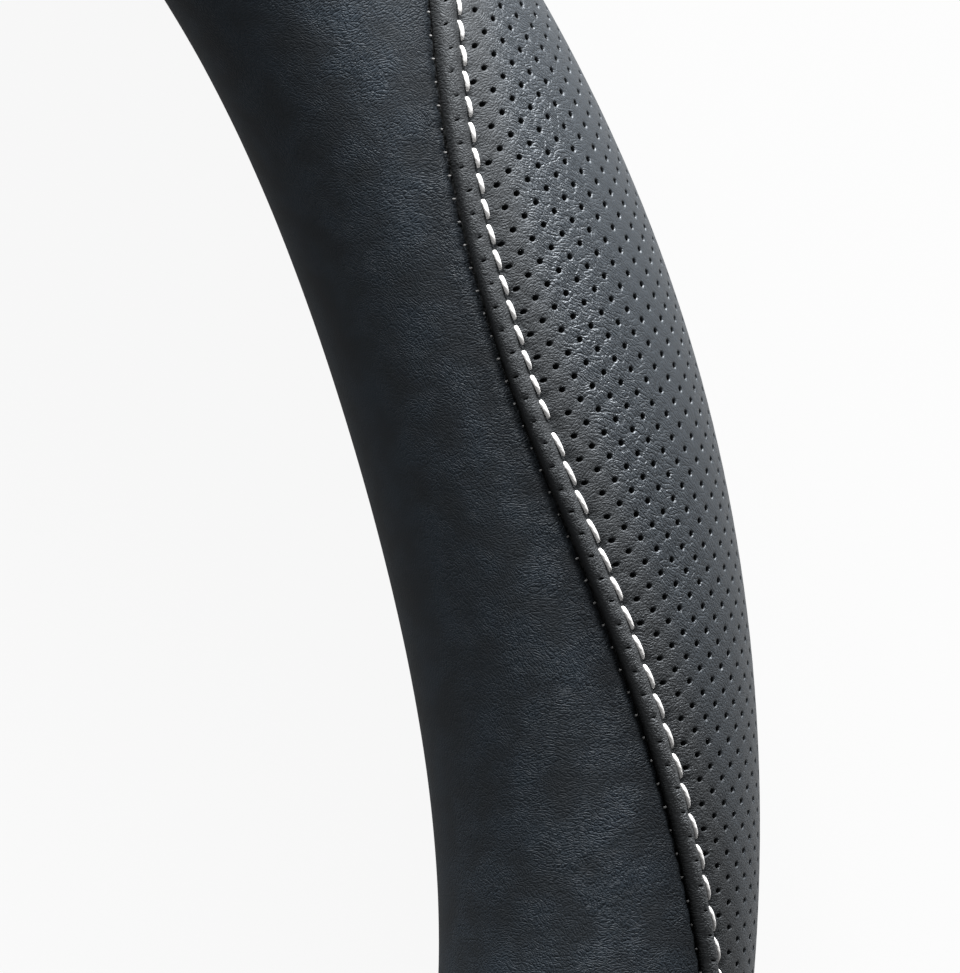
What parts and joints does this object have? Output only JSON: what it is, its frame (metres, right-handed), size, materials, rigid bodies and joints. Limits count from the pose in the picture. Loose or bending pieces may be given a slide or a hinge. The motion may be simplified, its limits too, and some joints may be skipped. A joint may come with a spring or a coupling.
{
  "type": "steering wheel cover",
  "caption": "Ring-shaped leather cover for a steering wheel rim, open on its inner back side, with padded perforated side grips and white top stitching.",
  "frame": {"origin": "on the resting plane, at the centre of the ring", "axes": "+X to three o'clock of the wheel, +Y to twelve o'clock, +Z out of the front of the wheel"},
  "size_m": [0.3908, 0.39, 0.039],
  "materials": {
    "smooth_leather": "black smooth leather with a fine grain, satin",
    "perforated_leather": "black perforated leather with a fine grain, satin",
    "rubber": "matt black moulded rubber",
    "foam": "dark grey closed-cell foam",
    "white_thread": "white twisted sewing thread",
    "black_thread": "black sewing thread"
  },
  "bodies": {
    "root": {"rubber_inner_ring": "rubber", "grip_pad_right": "foam", "grip_pad_left": "foam", "smooth_leather_right": "smooth_leather", "smooth_leather_left": "smooth_leather", "perforated_grip_right": "perforated_leather", "perforated_grip_left": "perforated_leather", "topstitch_right": "white_thread", "topstitch_left": "white_thread", "seam_thread_right": "black_thread", "seam_thread_left": "black_thread", "lip_thread_front": "black_thread", "lip_thread_back": "black_thread"}
  },
  "joints": []
}
